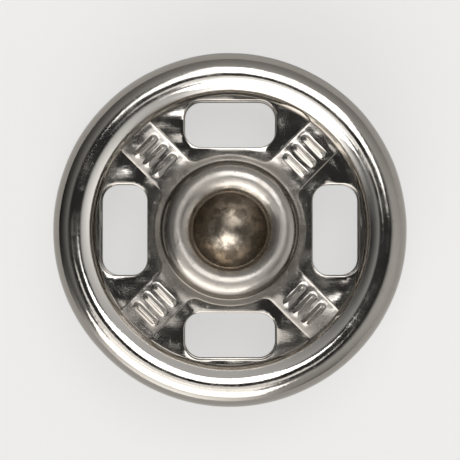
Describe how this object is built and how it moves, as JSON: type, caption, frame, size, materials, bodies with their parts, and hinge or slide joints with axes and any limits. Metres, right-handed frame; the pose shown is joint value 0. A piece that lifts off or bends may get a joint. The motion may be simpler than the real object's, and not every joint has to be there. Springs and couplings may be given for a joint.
{
  "type": "snap fastener",
  "caption": "Sew-on snap fastener of plated brass sheet: a ball half pressed into a socket half with a wire spring, each with sewing holes under a rolled rim.",
  "frame": {"origin": "on the fastener's axis, in the plane that the socket half's rolled rim rests on", "axes": "+Z along the axis, from the socket half towards the ball half; +X through a sewing hole"},
  "size_m": [0.008, 0.008, 0.0024],
  "materials": {
    "nickel_shell": "bright nickel plating on stamped brass sheet",
    "nickel_plate": "nickel plating, slightly duller and mottled from pressing",
    "bronze_wire": "drawn phosphor bronze wire"
  },
  "bodies": {
    "socket_half": {"socket_shell": "nickel_shell", "socket_plate": "nickel_plate"},
    "spring": {"spring_wire": "bronze_wire"},
    "ball_half": {"ball_shell": "nickel_shell", "ball_plate": "nickel_plate"}
  },
  "joints": [
    {"name": "swivel", "type": "hinge", "parent": "socket_half", "child": "spring", "pos_m": [0, 0, 0], "axis": [0, 0, 1], "continuous": true},
    {"name": "unsnap", "type": "slide", "parent": "spring", "child": "ball_half", "axis": [0, 0, 1], "range_m": [0, 0.004], "deforming": ["spring_wire"]}
  ]
}
